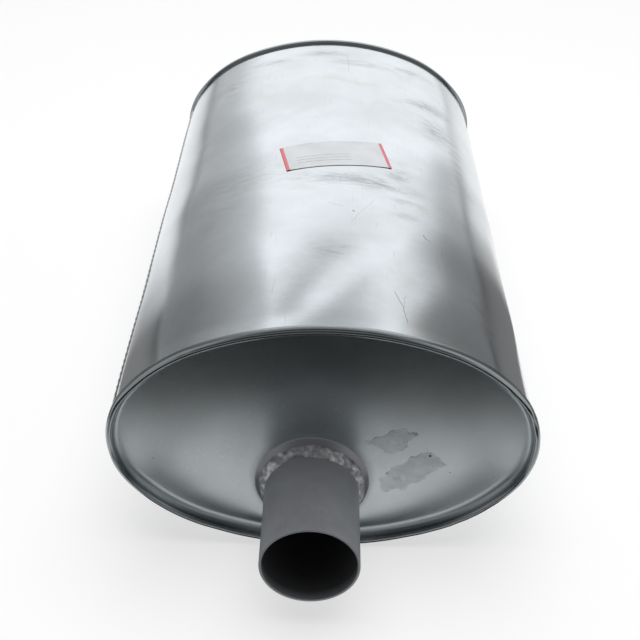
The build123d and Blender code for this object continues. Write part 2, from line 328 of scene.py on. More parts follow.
def make_aluminised_sheet():
    """Hot-dip aluminised steel, cold rolled: a soft grey-silver gloss, cloudy in large patches.

    Handling leaves grey smears, hair scratches and faint yellow heat and oil stains on it.
    """
    material, tree, shader = finish("aluminised_sheet_rolled")
    place = add(tree, "TexCoord", {}).outputs["Object"]
    dirt = add(tree, "Attribute", {}, attribute_name="smudge").outputs["Fac"]
    cloud = add(tree, "TexNoise", {"Vector": place, "Scale": 1 / (70 * mm), "Detail": 4.0,
                                   "Roughness": 0.6})
    speckle = add(tree, "TexNoise", {"Vector": place, "Scale": 1 / (5 * mm), "Detail": 5.0,
                                     "Roughness": 0.7})
    tone = add(tree, "MapRange", {"Value": cloud, "From Min": 0.35, "From Max": 0.65})
    bare = add(tree, "Mix", {"Factor": tone, "A": linear("e0e5e9"), "B": linear("d3d8db")},
               data_type="RGBA")
    stain = add(tree, "TexNoise", {"Vector": place, "Scale": 1 / (38 * mm), "Detail": 5.0,
                                   "Distortion": 0.8})
    stained = add(tree, "MapRange", {"Value": stain, "From Min": 0.60, "From Max": 0.74, "To Max": 0.30})
    warm = add(tree, "Mix", {"Factor": stained, "A": bare, "B": linear("cfc7ae")}, data_type="RGBA")
    # Smears: noise drawn out across the body, so that a smudge breaks into soft streaks
    drawn = add(tree, "Mapping", {"Vector": place, "Rotation": (0, 0, -0.10),
                                  "Scale": (1 / (17 * mm), 1 / (5.5 * mm), 1 / (17 * mm))})
    streaks = add(tree, "TexNoise", {"Vector": drawn, "Scale": 1.0, "Detail": 4.0, "Roughness": 0.60,
                                     "Distortion": 0.8})
    broken = add(tree, "MapRange", {"Value": streaks, "From Min": 0.38, "From Max": 0.72})
    smear = add(tree, "Math", {0: dirt, 1: broken}, operation="MULTIPLY")
    # Hair scratches: noise drawn out along two directions, and only its crests kept
    scratch = None
    for turn, stretch in ((0.35, 26), (-0.9, 34)):
        drawn = add(tree, "Mapping", {"Vector": place, "Rotation": (0, 0, turn),
                                      "Scale": (1 / (0.9 * mm), 1 / (stretch * mm), 1 / (40 * mm))})
        lines = add(tree, "TexNoise", {"Vector": drawn, "Scale": 1.0, "Detail": 1.0})
        crest = add(tree, "MapRange", {"Value": lines, "From Min": 0.72, "From Max": 0.78})
        if scratch is not None:
            crest = add(tree, "Math", {0: scratch, 1: crest}, operation="MAXIMUM")
        scratch = crest
    marked = add(tree, "Math", {0: scratch, 1: 0.22}, operation="MULTIPLY")
    # Scratches made by hand, on the crown only and a little unsteady
    wander = add(tree, "TexNoise", {"Vector": place, "Scale": 1 / (9 * mm), "Detail": 2.0})
    shake = add(tree, "VectorMath", {0: wander.outputs["Color"], 1: (0.5, 0.5, 0.5)},
                operation="SUBTRACT")
    shaken = add(tree, "VectorMath", {0: shake, 1: (4 * mm, 4 * mm, 0), 2: place},
                 operation="MULTIPLY_ADD")
    flat = add(tree, "VectorMath", {0: shaken, 1: (1, 1, 0)}, operation="MULTIPLY")
    height = add(tree, "SeparateXYZ", {0: place}).outputs["Z"]
    on_crown = add(tree, "Math", {0: height, 1: 0.0}, operation="GREATER_THAN")
    for start, end, width, strength in scratches:
        line = scratch_line(tree, flat, start, end, width)
        crowned = add(tree, "Math", {0: line, 1: on_crown}, operation="MULTIPLY")
        faded = add(tree, "Math", {0: crowned, 1: strength}, operation="MULTIPLY")
        marked = add(tree, "Math", {0: marked, 1: faded}, operation="MAXIMUM")
    scuffed = add(tree, "Mix", {"Factor": marked, "A": warm, "B": linear("7c8084")}, data_type="RGBA")
    colour = add(tree, "Mix", {"Factor": smear, "A": scuffed, "B": linear("7b7d7e")}, data_type="RGBA")
    gloss = add(tree, "MapRange", {"Value": cloud, "From Min": 0.3, "From Max": 0.7, "To Min": 0.12,
                                   "To Max": 0.18})
    dull = add(tree, "Math", {0: dirt, 1: 0.16, 2: gloss}, operation="MULTIPLY_ADD")
    grain = add(tree, "Math", {0: speckle, 1: 1.0, 2: marked}, operation="MULTIPLY_ADD")
    bump = add(tree, "Bump", {"Height": grain, "Strength": 0.07, "Distance": 0.25 * mm})
    wire(tree, shader, {"Base Color": colour, "Roughness": dull, "Normal": bump, "Metallic": 1.0})
    return material


def along_tapered(places, fade):
    """1 over the sheet's length, and smoothly down to 0 over the last stretch at both ends."""
    inside = np.minimum(places - shell_low.y, shell_high.y - places) / fade
    return eased(np.clip(inside, 0, 1))


def spot(points, across, along, half_width, half_length, turn):
    """A soft spot of height 1 on the crown side: a bell over a turned ellipse, seen from above."""
    side = points[..., 0] - across * mm
    length = points[..., 1] - along * mm
    c, s = math.cos(math.radians(turn)), math.sin(math.radians(turn))
    u = (side * c + length * s) / (half_width * mm)
    v = (length * c - side * s) / (half_length * mm)
    return np.exp(-(u * u + v * v)) * (points[..., 2] > 0)


def sheet_relief(points, places):
    """How far the sheet's outer face stands off its true oval: waves and dents, none at the rims."""
    height = waves(points, seed=3, count=16, shortest=45 * mm, longest=150 * mm, height=wave_height)
    for across, along, half_width, half_length, turn, depth in dents:
        height = height - depth * mm * spot(points, across, along, half_width, half_length, turn)
    return height * along_tapered(places, wave_fade)


def make_shell(material):
    """The sheet's section round the oval: outer face, a hem proud at each end, and the inner face.

    Along the seam the outer face has a groove at each side of the fold and a row of tooth marks
    between them, and the inner face is as deep as the four folded layers.
    """
    total = oval_length()
    seam = walk_to(seam_start_angle)
    fine = seam + np.linspace(-seam_margin, seam_width + seam_margin, seam_points)
    even = np.linspace(0, total, sheet_points_round, endpoint=False)
    even = even[(even < fine[0] - least_step) | (even > fine[-1] + least_step)]
    walked = np.sort(np.concatenate([even, fine]))
    length = shell_high.y - shell_low.y
    steps = int(round(length / tooth_pitch)) * rings_per_tooth
    outer = np.linspace(shell_low.y, shell_high.y, steps + 1)
    hem_low, hem_high = shell_low.y + hem_length, shell_high.y - hem_length
    outer = outer[(outer > hem_low + least_step) & (outer < hem_high - least_step)]
    places = np.concatenate([[shell_low.y, hem_low, hem_low], outer, [hem_high, hem_high, shell_high.y],
                             [shell_high.y, hem_high - seam_end_notch, hem_high - seam_end_notch],
                             [hem_low + seam_end_notch, hem_low + seam_end_notch, shell_low.y]])
    offsets = np.concatenate([[sheet, sheet, 0], np.zeros(len(outer)), [0, sheet, sheet],
                              np.full(6, -sheet)])
    is_outer = np.zeros(len(places), bool)
    is_outer[3:3 + len(outer)] = True
    grid = rings(walked, offsets[:, None], places[:, None])
    from_seam = walked - seam
    # Grooves: a narrow V at the open edge of the fold, and a shallower one at its back
    open_edge = np.exp(-((from_seam - seam_width) / groove_width) ** 2)
    back = back_groove_depth * np.exp(-((from_seam - back_groove_place) / groove_width) ** 2)
    # Tooth marks: one cosine lobe at every pitch, faded at both sides of the fold
    lobe = np.maximum(0, np.cos(2 * np.pi * places / tooth_pitch)) ** 2
    band = np.clip((from_seam - tooth_start) / tooth_fade_in, 0, 1)
    band = band * np.clip((seam_width - from_seam) / tooth_fade_out, 0, 1)
    relief = sheet_relief(grid, grid[..., 1])
    inward = along_tapered(grid[..., 1], seam_end_notch)
    relief = relief + (seam_stand - tooth_depth * lobe[:, None]) * band[None] * inward
    relief = relief - seam_groove * (open_edge + back)[None]
    relief = relief * is_outer[:, None]
    folded = (from_seam > 0) & (from_seam < seam_width)
    deep = np.zeros(len(places), bool)
    deep[-4:-2] = True
    relief = relief - seam_fold * deep[:, None] * folded[None]
    _, normal = oval(walked)
    grid[..., 0] += relief * normal[:, 0]
    grid[..., 2] += relief * normal[:, 1]
    shell = skin("body_sheet", grid, material)
    dirt = np.zeros(grid.shape[:2])
    for across, along, half_width, half_length, turn, strength in smudges:
        dirt = np.maximum(dirt, strength * spot(grid, across, along, half_width, half_length, turn))
    paint(shell, "smudge", dirt)
    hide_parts("shell")


aluminised_sheet = make_aluminised_sheet()
make_shell(aluminised_sheet)

# End caps: steel pressings with a flat recessed face, whose edge is rolled over the body sheet's
# hem into a round bead, and whose neck takes the pipe. The face is matt grey; the bead has small
# crinkles from the rolling, and two torn stickers have left their paste on the inlet's face.
cap_sheet = 1.2 * mm
rim_clearance = 0.1 * mm
rim_front_radius = 1.9 * mm
rim_front_depth = 3.6 * mm
rim_inner_depth = 2.6 * mm
rim_back_radius = 0.5 * mm
cap_recess = 8.0 * mm
# The recess corner's width and height, and how far the face rises to it, at the top and the bottom
recess_top = (2.8 * mm, 3.4 * mm, 0.0)
recess_bottom = (6.0 * mm, 3.6 * mm, 0.5 * mm)
recess_change = 0.8
edge_run = 8.0 * mm
neck_foot_radius = 35.7 * mm
neck_lip_depth = 2.4 * mm
neck_lip_width = 1.8 * mm
neck_bore = 30.1 * mm
neck_foot_round = 1.4 * mm
neck_lip_round = 0.6 * mm
# Where the neck's cone bends: its share of the way in from the foot, and up from the face
neck_waist = (0.35, 0.42)
face_crown = 0.7 * mm
face_unevenness = 0.045 * mm
cap_points_round = 420
corner_steps = 9
bead_steps = 9
rim_back_steps = 6
face_rings_out = 26
face_rings_back = 3
face_crowding = 1.35
rim_crinkle = 0.05 * mm
rim_crinkle_top = 0.02 * mm
crinkle_across = 0.6
heat_reach = 5 * mm
# Knocks on the bead: angle round the body and half width in degrees, depth in mm
rim_dents = [(183, 3.0, 0.5), (22, 2.5, 0.45), (8, 3.5, 0.55), (140, 2.0, 0.25), (325, 2.5, 0.3)]


def bend(centre, radius, start, end, steps, height=None):
    """Points of a sheet's fold in its section: an arc round the centre, from start to end degrees.

    With a height it is part of an ellipse, with the radius across and the height along the body.
    """
    angle = np.radians(np.linspace(start, end, steps))
    tall = radius if height is None else height
    return [(centre[0] + radius * math.cos(a), centre[1] + tall * math.sin(a)) for a in angle]


def cap_rim_section(width, height, rise):
    """Section from the face's edge outwards, as offsets from the body sheet and depths.

    Outer side: recess corner, bead, tip behind the hem. Inner side: the way back inside it. The
    corner starts as steep as the face rises at its edge.
    """
    stand = sheet + rim_clearance + cap_sheet
    wall = -(sheet + rim_clearance) - cap_sheet
    start = math.atan(rise / edge_run * width / height)
    hem_end = -cap_sheet - 2 * rim_clearance - hem_length
    tip = hem_end - cap_sheet
    front, back = rim_front_radius, rim_back_radius
    corner = (wall - width, -cap_recess + rise + height * math.cos(start))
    lowest = 270 + math.degrees(start)
    outer = [
        *bend(corner, width, lowest, 360, corner_steps, height),
        *bend((wall + front, -rim_inner_depth), front, 180, 90, bead_steps, rim_inner_depth),
        *bend((stand - front, -rim_front_depth), front, 90, 0, bead_steps, rim_front_depth),
        *bend((stand - back, tip + back), back, 0, -90, rim_back_steps),
        (rim_clearance, tip),
    ]
    inner = [
        (rim_clearance, hem_end),
        (stand - cap_sheet, hem_end),
        (stand - cap_sheet, -cap_sheet),
        (-sheet - rim_clearance, -cap_sheet),
        *bend(corner, width + cap_sheet, 360, lowest, 5, height + cap_sheet),
    ]
    return np.array(outer), np.array(inner)


def neck_section():
    """Section of the neck from its foot on the face to its lip and back, as radii and depths."""
    lip = neck_bore + neck_lip_width
    foot = neck_foot_round
    slope = neck_foot_radius - lip
    outer = [
        *bend((neck_foot_radius + foot, -cap_recess + foot), foot, 270, 215, 5),
        (neck_foot_radius - slope * neck_waist[0],
         -cap_recess + (cap_recess - neck_lip_depth) * neck_waist[1]),
        *bend((lip - neck_lip_round / 2, -neck_lip_depth - neck_lip_round), neck_lip_round, 20, 90, 4),
    ]
    inner = [
        (neck_bore, -neck_lip_depth),
        (neck_bore, -neck_lip_depth - cap_sheet),
        (neck_foot_radius - cap_sheet, -cap_recess - cap_sheet),
    ]
    return np.array(outer), np.array(inner)


def cap_grid(axis, rim_place, ahead, seed):
    """A whole cap as rings of points, from the rim's tip across the face to the neck and back inside.

    Rim rings follow the oval, neck rings are circles about the pipe's axis, and the rings of the
    face run from one to the other along straight lines.
    """
    walked = np.linspace(0, oval_length(), cap_points_round, endpoint=False)
    flat, normal = oval(walked)
    top_outer, top_inner = cap_rim_section(*recess_top)
    low_outer, low_inner = cap_rim_section(*recess_bottom)
    neck_outer, neck_inner = neck_section()
    lower = eased(np.clip(0.5 - recess_change * normal[:, 1], 0, 1))

    def oval_rings(top, low):
        """The oval moved out to each point of a section, which changes from the top's to the bottom's."""
        section = top[:, None] + (low - top)[:, None] * lower[:, None]
        return flat + section[..., :1] * normal, section[..., 1]

    def neck_rings(section):
        """A circle about the pipe's axis for each point of a section."""
        depths = np.broadcast_to(section[:, 1][:, None], (len(section), len(flat)))
        return axis + section[:, 0][:, None, None] * out_from_axis[None], depths

    def face_rings(start, end, share):
        """Rings between two others, at each share of the straight lines that join them."""
        return start + (end - start) * share[:, None, None]

    rim_rings, rim_depths = oval_rings(top_outer[::-1], low_outer[::-1])
    out_from_axis = rim_rings[-1] - axis
    out_from_axis /= np.linalg.norm(out_from_axis, axis=1, keepdims=True)
    neck_up, neck_depths = neck_rings(neck_outer)
    neck_down, inner_depths = neck_rings(neck_inner)
    rim_back, back_depths = oval_rings(top_inner[::-1], low_inner[::-1])
    share = np.linspace(0, 1, face_rings_out + 2)[1:-1] ** face_crowding
    front_face = face_rings(rim_rings[-1], neck_up[0], share)
    back_face = face_rings(neck_down[-1], rim_back[0], np.linspace(0, 1, face_rings_back + 2)[1:-1])
    plan = np.concatenate([rim_rings, front_face, neck_up, neck_down, back_face, rim_back])
    around = len(flat)
    depth = np.concatenate([rim_depths, np.full((face_rings_out, around), -cap_recess),
                            neck_depths, inner_depths,
                            np.full((face_rings_back, around), -cap_recess - cap_sheet), back_depths])
    # The face: it rises towards its edge, is slightly crowned and has the unevenness of a pressing
    first, last = len(rim_rings), len(rim_rings) + face_rings_out
    place = np.stack([plan[..., 0], depth, plan[..., 1]], axis=-1)
    uneven = waves(place[first:last], seed, count=12, shortest=30 * mm, longest=90 * mm,
                   height=face_unevenness)
    depth[first:last] += (face_crown + uneven) * np.sin(np.pi * share)[:, None]
    from_edge = np.linalg.norm(front_face - rim_rings[-1], axis=-1)
    rise = recess_top[2] + (recess_bottom[2] - recess_top[2]) * lower
    depth[first:last] += rise * np.exp(-from_edge / edge_run) * (1 - share)[:, None]
    # The bead: small crinkles along it, and a few dents where it was knocked
    bead = np.zeros(len(plan))
    bead_first, bead_last = 1 + rim_back_steps, len(rim_rings) - corner_steps
    bead[bead_first:bead_last] = np.sin(np.linspace(0, np.pi, bead_last - bead_first))
    crinkle = waves(place, seed + 1, count=14, shortest=7 * mm, longest=34 * mm, height=rim_crinkle)
    angle = np.degrees(np.arctan2(plan[..., 1], plan[..., 0])) % 360
    for where, half_width, deep in rim_dents:
        gap = (angle - where + 180) % 360 - 180
        crinkle = crinkle - deep * mm * np.exp(-(gap / half_width) ** 2)
    crinkle = np.minimum(crinkle, rim_crinkle_top) * bead[:, None]
    plan = plan + (crinkle_across * crinkle)[..., None] * normal[None]
    depth = depth + np.minimum(crinkle, 0)
    # Rubbed and shaded: the bead, smooth from the roller, and its colour darkened as painted shade.
    # Heated: the neck, and the face just round its foot
    rolled = np.arange(len(plan)) < bead_last
    rubbed_and_shaded = np.broadcast_to(rolled[:, None], depth.shape)
    from_axis = np.linalg.norm(plan - axis, axis=-1)
    heated = np.clip(1 - (from_axis - neck_foot_radius) / heat_reach, 0, 1) ** 2
    points = np.stack([plan[..., 0], rim_place + ahead * depth, plan[..., 1]], axis=-1)
    return points, rubbed_and_shaded, heated


def patch_distance(tree, place, corners):
    """How far a place is outside a convex outline on the cap's face, in metres, and below 0 inside.

    For each side it is the distance past that side's line, and the largest of them counts.
    """
    points = np.array(corners) * mm
    centre = points.mean(axis=0)
    farthest = None
    for start, end in zip(points, np.roll(points, -1, axis=0)):
        out = np.array([end[1] - start[1], start[0] - end[0]])
        out /= math.copysign(np.linalg.norm(out), (start - centre) @ out)
        along = add(tree, "VectorMath", {0: place, 1: (out[0], 0, out[1])}, operation="DOT_PRODUCT")
        past = add(tree, "Math", {0: along, 1: start @ out}, operation="SUBTRACT")
        if farthest is not None:
            past = add(tree, "Math", {0: farthest, 1: past}, operation="MAXIMUM")
        farthest = past
    return farthest


def make_pressed_cap(name, with_paste):
    """Aluminised steel drawn in a press: the same coating gone matt, with fine draw marks.

    Where stickers were torn off, their paste has caught dust along its edges and in its wrinkles.
    """
    material, tree, shader = finish(name)
    place = add(tree, "TexCoord", {}).outputs["Object"]
    cloud = add(tree, "TexNoise", {"Vector": place, "Scale": 1 / (55 * mm), "Detail": 4.0})
    grain = add(tree, "TexNoise", {"Vector": place, "Scale": 1 / (1.6 * mm), "Detail": 3.0,
                                   "Roughness": 0.7})
    tone = add(tree, "MapRange", {"Value": cloud, "From Min": 0.35, "From Max": 0.65})
    bare = add(tree, "Mix", {"Factor": tone, "A": linear("bfc6c8"), "B": linear("b3babc")},
               data_type="RGBA")
    specks = add(tree, "TexVoronoi", {"Vector": place, "Scale": 1 / (24 * mm), "Randomness": 1.0})
    speck = add(tree, "MapRange", {"Value": specks, "From Min": 0.014, "From Max": 0.026, "To Min": 0.7,
                                   "To Max": 0.0})
    colour = add(tree, "Mix", {"Factor": speck, "A": bare, "B": linear("3c3d3e")}, data_type="RGBA")
    matt = add(tree, "MapRange", {"Value": grain, "From Min": 0.3, "From Max": 0.7, "To Min": 0.27,
                                  "To Max": 0.33})
    # The neck is dulled and darkened by the heat of its weld
    heat = add(tree, "Attribute", {}, attribute_name="heated").outputs["Fac"]
    tinted = add(tree, "Math", {0: heat, 1: 0.80}, operation="MULTIPLY")
    bright = add(tree, "MapRange", {"Value": heat, "To Min": 1.0, "To Max": 0.78})
    colour = add(tree, "Mix", {"Factor": tinted, "A": colour, "B": linear("8f8d93")}, data_type="RGBA")
    matt = add(tree, "Math", {0: heat, 1: 0.14, 2: matt}, operation="MULTIPLY_ADD")
    # The rolled bead: glossier from the roller, and its colour darkened towards grey as painted shade
    rub = add(tree, "Attribute", {}, attribute_name="rubbed_and_shaded").outputs["Fac"]
    matt = add(tree, "Math", {0: rub, 1: -0.13, 2: matt}, operation="MULTIPLY_ADD")
    bead_painted_shade = add(tree, "Math", {0: rub, 1: 0.38}, operation="MULTIPLY")
    colour = add(tree, "Mix", {"Factor": bead_painted_shade, "A": colour, "B": linear("55585b")}, data_type="RGBA")
    if with_paste:
        wander = add(tree, "TexNoise", {"Vector": place, "Scale": 1 / (8 * mm), "Detail": 5.0,
                                        "Roughness": 0.6})
        centred = add(tree, "Math", {0: wander, 1: 0.5}, operation="SUBTRACT")
        torn = add(tree, "TexNoise", {"Vector": place, "Scale": 1 / (10 * mm), "Detail": 2.0})
        kept = add(tree, "MapRange", {"Value": torn, "From Min": 0.49, "From Max": 0.60})
        fold = add(tree, "TexNoise", {"Vector": place, "Scale": 1 / (13 * mm), "Detail": 1.5,
                                      "Distortion": 0.6})
        near_fold = add(tree, "Math", {0: fold, 1: 0.5}, operation="SUBTRACT")
        near_fold = add(tree, "Math", {0: near_fold}, operation="ABSOLUTE")
        wrinkle = add(tree, "MapRange", {"Value": near_fold, "From Min": 0.003, "From Max": 0.012,
                                         "To Min": 0.30, "To Max": 0.0})
        film = add(tree, "MapRange", {"Value": torn, "From Min": 0.35, "From Max": 0.65, "To Min": 0.08,
                                      "To Max": 0.26})
        for corners in paste_patches:
            far = patch_distance(tree, place, corners)
            far = add(tree, "Math", {0: centred, 1: 12 * mm, 2: far}, operation="MULTIPLY_ADD")
            inside = add(tree, "MapRange", {"Value": far, "From Min": -0.6 * mm, "From Max": 0.2 * mm,
                                            "To Min": 1.0, "To Max": 0.0})
            off_edge = add(tree, "Math", {0: far}, operation="ABSOLUTE")
            line = add(tree, "MapRange", {"Value": off_edge, "From Min": 0.15 * mm, "From Max": 0.60 * mm,
                                          "To Min": 0.60, "To Max": 0.0})
            edge = add(tree, "Math", {0: line, 1: kept}, operation="MULTIPLY")
            dusty = add(tree, "Math", {0: wrinkle, 1: film}, operation="MAXIMUM")
            within = add(tree, "Math", {0: dusty, 1: inside}, operation="MULTIPLY")
            dust = add(tree, "Math", {0: edge, 1: within}, operation="MAXIMUM")
            colour = add(tree, "Mix", {"Factor": dust, "A": colour, "B": linear("434142")},
                         data_type="RGBA")
            matt = add(tree, "Math", {0: inside, 1: 0.05, 2: matt}, operation="MULTIPLY_ADD")
        off_dot = add(tree, "VectorMath", {0: place, 1: dirt_dot}, operation="SUBTRACT")
        off_dot = add(tree, "VectorMath", {0: off_dot, 1: (1, 0, 1)}, operation="MULTIPLY")
        off_dot = add(tree, "VectorMath", {0: off_dot}, operation="LENGTH")
        dot = add(tree, "MapRange", {"Value": off_dot, "From Min": 0.6 * mm, "From Max": 1.1 * mm,
                                     "To Min": 0.9, "To Max": 0.0})
        colour = add(tree, "Mix", {"Factor": dot, "A": colour, "B": linear("1c1c1d")}, data_type="RGBA")
    bump = add(tree, "Bump", {"Height": grain, "Strength": 0.14, "Distance": 0.2 * mm})
    wire(tree, shader, {"Base Color": colour, "Roughness": matt, "Normal": bump, "Metallic": bright})
    return material


# Paste left by two torn stickers right of the inlet's neck: corners across and up, in mm
paste_patches = [
    ((27, -2), (49, 9), (57, 3), (44, -14)),
    ((35, -33), (65, -7), (79, -20), (54, -41), (39, -42)),
]
dirt_dot = (67.6 * mm, 0, -12.8 * mm)
pressed_cap_inlet = make_pressed_cap("aluminised_steel_pressed_pasted", True)
pressed_cap = make_pressed_cap("aluminised_steel_pressed", False)
caps = {}
for end, ahead in (("inlet", -1), ("outlet", 1)):
    cap_low, cap_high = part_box(f"{end}_cap")
    pipe_low, pipe_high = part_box(f"{end}_pipe")
    axis = np.array([(pipe_low.x + pipe_high.x) / 2, (pipe_low.z + pipe_high.z) / 2])
    rim_place = cap_low.y if ahead < 0 else cap_high.y
    grid, rubbed_and_shaded, heated = cap_grid(axis, rim_place, ahead, 11 if ahead < 0 else 12)
    cap = skin(f"{end}_end_cap", grid, pressed_cap_inlet if ahead < 0 else pressed_cap)
    paint(cap, "rubbed_and_shaded", rubbed_and_shaded)
    paint(cap, "heated", heated)
    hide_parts(f"{end}_cap")
    caps[end] = (axis, rim_place, ahead, pipe_low, pipe_high)

# End pipes: lengths of plain welded steel tube, cut square by a saw and lightly deburred, with the
# dull dark skin of the mill still on them and a brighter worn edge at the mouth. Their bores are
# painted dark, as painted shade.
pipe_radius = 30.0 * mm
pipe_wall = 1.5 * mm
mouth_round = 0.35 * mm
mouth_ring = 1.5 * mm
mouth_wear_width = 0.5 * mm
mouth_wear = 0.5
# How far the pipes' bores are darkened, as painted shade
bore_painted_shade = 0.75
pipe_rings = 22
pipe_points_round = 200


def make_mill_tube():
    """Uncoated mild-steel tube with its mill oxide: dark, matt and even, a little mottled.

    Faint lines run along it from the rolls that shaped it. Its bore is darkened as painted shade.
    """
    material, tree, shader = finish("mild_steel_tube_oxidised")
    place = add(tree, "TexCoord", {}).outputs["Object"]
    cloud = add(tree, "TexNoise", {"Vector": place, "Scale": 1 / (24 * mm), "Detail": 5.0,
                                   "Roughness": 0.62})
    drawn = add(tree, "Mapping", {"Vector": place,
                                  "Scale": (1 / (1.4 * mm), 1 / (60 * mm), 1 / (1.4 * mm))})
    lines = add(tree, "TexNoise", {"Vector": drawn, "Scale": 1.0, "Detail": 2.0})
    fine = add(tree, "TexNoise", {"Vector": place, "Scale": 1 / (1.1 * mm), "Detail": 3.0})
    edge = add(tree, "Attribute", {}, attribute_name="mouth_wear").outputs["Fac"]
    tone = add(tree, "MapRange", {"Value": cloud, "From Min": 0.3, "From Max": 0.7})
    bare = add(tree, "Mix", {"Factor": tone, "A": linear("a3a5a9"), "B": linear("94969b")},
               data_type="RGBA")
    ruled = add(tree, "MapRange", {"Value": lines, "From Min": 0.35, "From Max": 0.75, "To Max": 0.12})
    lined = add(tree, "Mix", {"Factor": ruled, "A": bare, "B": linear("adafb3")}, data_type="RGBA")
    worn = add(tree, "Mix", {"Factor": edge, "A": lined, "B": linear("a9abad")}, data_type="RGBA")
    # Painted shade: the bore, inside the tube, is darkened towards dark grey
    bore = add(tree, "Attribute", {}, attribute_name="in_bore").outputs["Fac"]
    bore_shaded = add(tree, "Mix", {"Factor": bore, "A": worn, "B": linear("48484a")}, data_type="RGBA")
    matt = add(tree, "MapRange", {"Value": cloud, "From Min": 0.3, "From Max": 0.7, "To Min": 0.52,
                                  "To Max": 0.60})
    height = add(tree, "Math", {0: lines, 1: 0.6, 2: fine}, operation="MULTIPLY_ADD")
    bump = add(tree, "Bump", {"Height": height, "Strength": 0.10, "Distance": 0.12 * mm})
    wire(tree, shader, {"Base Color": bore_shaded, "Roughness": matt, "Normal": bump, "Metallic": 0.72})
    return material


def tube_grid(axis, tail, mouth):
    """A tube as rings about its axis: outer face from tail to mouth, rounded lip, inner face back."""
    way = 1 if mouth > tail else -1
    bore = pipe_radius - pipe_wall
    r = mouth_round
    stations = np.linspace(tail, mouth - way * mouth_ring, pipe_rings)
    lip = bend((pipe_radius - r, -r), r, 0, 90, 5) + bend((bore + r, -r), r, 90, 180, 5)
    radii = np.concatenate([np.full(pipe_rings, pipe_radius), [p[0] for p in lip],
                            np.full(pipe_rings, bore)])
    places = np.concatenate([stations, [mouth + way * p[1] for p in lip], stations[::-1]])
    angle = np.linspace(0, 2 * np.pi, pipe_points_round, endpoint=False)
    ring = np.stack([np.cos(angle), np.sin(angle)], axis=-1)
    plan = axis + radii[:, None, None] * ring[None]
    along = np.broadcast_to(places[:, None], plan.shape[:2])
    grid = np.stack([plan[..., 0], along, plan[..., 1]], axis=-1)
    near_mouth = np.clip(1 - np.abs(mouth - along) / mouth_wear_width, 0, 1)
    past_lip = np.arange(len(radii)) > pipe_rings + len(lip)
    in_bore = np.broadcast_to(past_lip[:, None], near_mouth.shape)
    return grid, near_mouth, in_bore


mill_tube = make_mill_tube()
for end, (axis, rim_place, ahead, pipe_low, pipe_high) in caps.items():
    tail, mouth = (pipe_high.y, pipe_low.y) if ahead < 0 else (pipe_low.y, pipe_high.y)
    grid, near_mouth, in_bore = tube_grid(axis, tail, mouth)
    pipe = skin(f"{end}_stub_pipe", grid, mill_tube)
    paint(pipe, "mouth_wear", mouth_wear * near_mouth)
    paint(pipe, "in_bore", bore_painted_shade * in_bore)
    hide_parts(f"{end}_pipe")

# Neck welds: one run of shielded-arc weld round each pipe, laid by hand between the neck's lip and
# the pipe. It is lumpy, with ripples, spatter and patches of grey slag beside bright metal.
bead_start_radius = 33.5 * mm
bead_start_depth = -4.5 * mm
bead_toe_depth = 2.4 * mm
bead_crown = 1.5 * mm
bead_fullness = 0.7
bead_root = 0.4 * mm
ripple_pitch = 4.2 * mm
ripple_height = 0.10
ripple_sweep = 5
lump_height = 0.15
toe_waver = 0.26 * mm
weld_rings = 16
weld_points_round = 540


def make_weld_metal():
    """Fresh mild-steel weld: rough, bright on its crests and slag grey in its hollows."""
    material, tree, shader = finish("arc_weld_bead_mild_steel")
    place = add(tree, "TexCoord", {}).outputs["Object"]
    drops = add(tree, "TexNoise", {"Vector": place, "Scale": 1 / (7 * mm), "Detail": 2.0,
                                   "Distortion": 0.5})
    flakes = add(tree, "TexNoise", {"Vector": place, "Scale": 1 / (4.4 * mm), "Detail": 2.5,
                                    "Roughness": 0.50, "Distortion": 0.4})
    flake = add(tree, "Math", {0: flakes, 1: 0.7}, operation="MULTIPLY")
    worked = add(tree, "Math", {0: drops, 1: 0.5, 2: flake}, operation="MULTIPLY_ADD")
    tone = add(tree, "ValToRGB", {"Fac": worked})
    greys = [(0.41, "5e5f62"), (0.48, "8d8e91"), (0.57, "a3a4a7"), (0.67, "bbbcbf"), (0.78, "dcdddf")]
    set_stops(tone, [(position, linear(grey)) for position, grey in greys])
    shine = add(tree, "MapRange", {"Value": worked, "From Min": 0.3, "From Max": 0.8, "To Min": 0.62,
                                   "To Max": 0.42})
    bump = add(tree, "Bump", {"Height": worked, "Strength": 0.26, "Distance": 0.7 * mm})
    wire(tree, shader, {"Base Color": tone, "Roughness": shine, "Normal": bump, "Metallic": 0.7})
    return material


